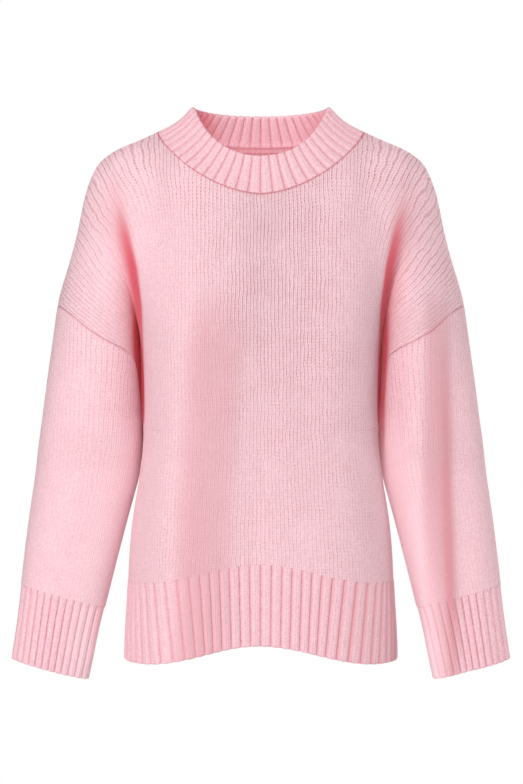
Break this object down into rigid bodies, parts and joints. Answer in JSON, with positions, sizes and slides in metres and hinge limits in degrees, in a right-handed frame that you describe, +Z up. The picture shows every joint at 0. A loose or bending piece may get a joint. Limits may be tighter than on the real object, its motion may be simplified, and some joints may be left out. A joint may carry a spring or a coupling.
{
  "type": "mock neck sweater",
  "caption": "Relaxed knitted sweater with a ribbed mock neck, dropped shoulders, deep ribbed hem and ribbed cuffs, filled out as if worn.",
  "frame": {"origin": "middle of the neck opening, at the height where the shoulder edges meet the collar, where the wearer's shoulders hold the sweater up", "axes": "+Z up towards the wearer's head, -Y towards the wearer's front, +X towards the wearer's left"},
  "size_m": [0.569, 0.2506, 0.6555],
  "materials": {
    "plain_knit": "soft plain knit in pale pink yarn, matt, with a light fuzz",
    "ribbing": "ribbed knit in the same pale pink yarn, matt"
  },
  "bodies": {
    "root": {"front": "plain_knit", "back": "plain_knit", "sleeve_left": "plain_knit", "sleeve_right": "plain_knit", "cuff_left": "ribbing", "cuff_right": "ribbing", "hem_front": "ribbing", "hem_back": "ribbing", "collar": "ribbing"}
  },
  "joints": []
}
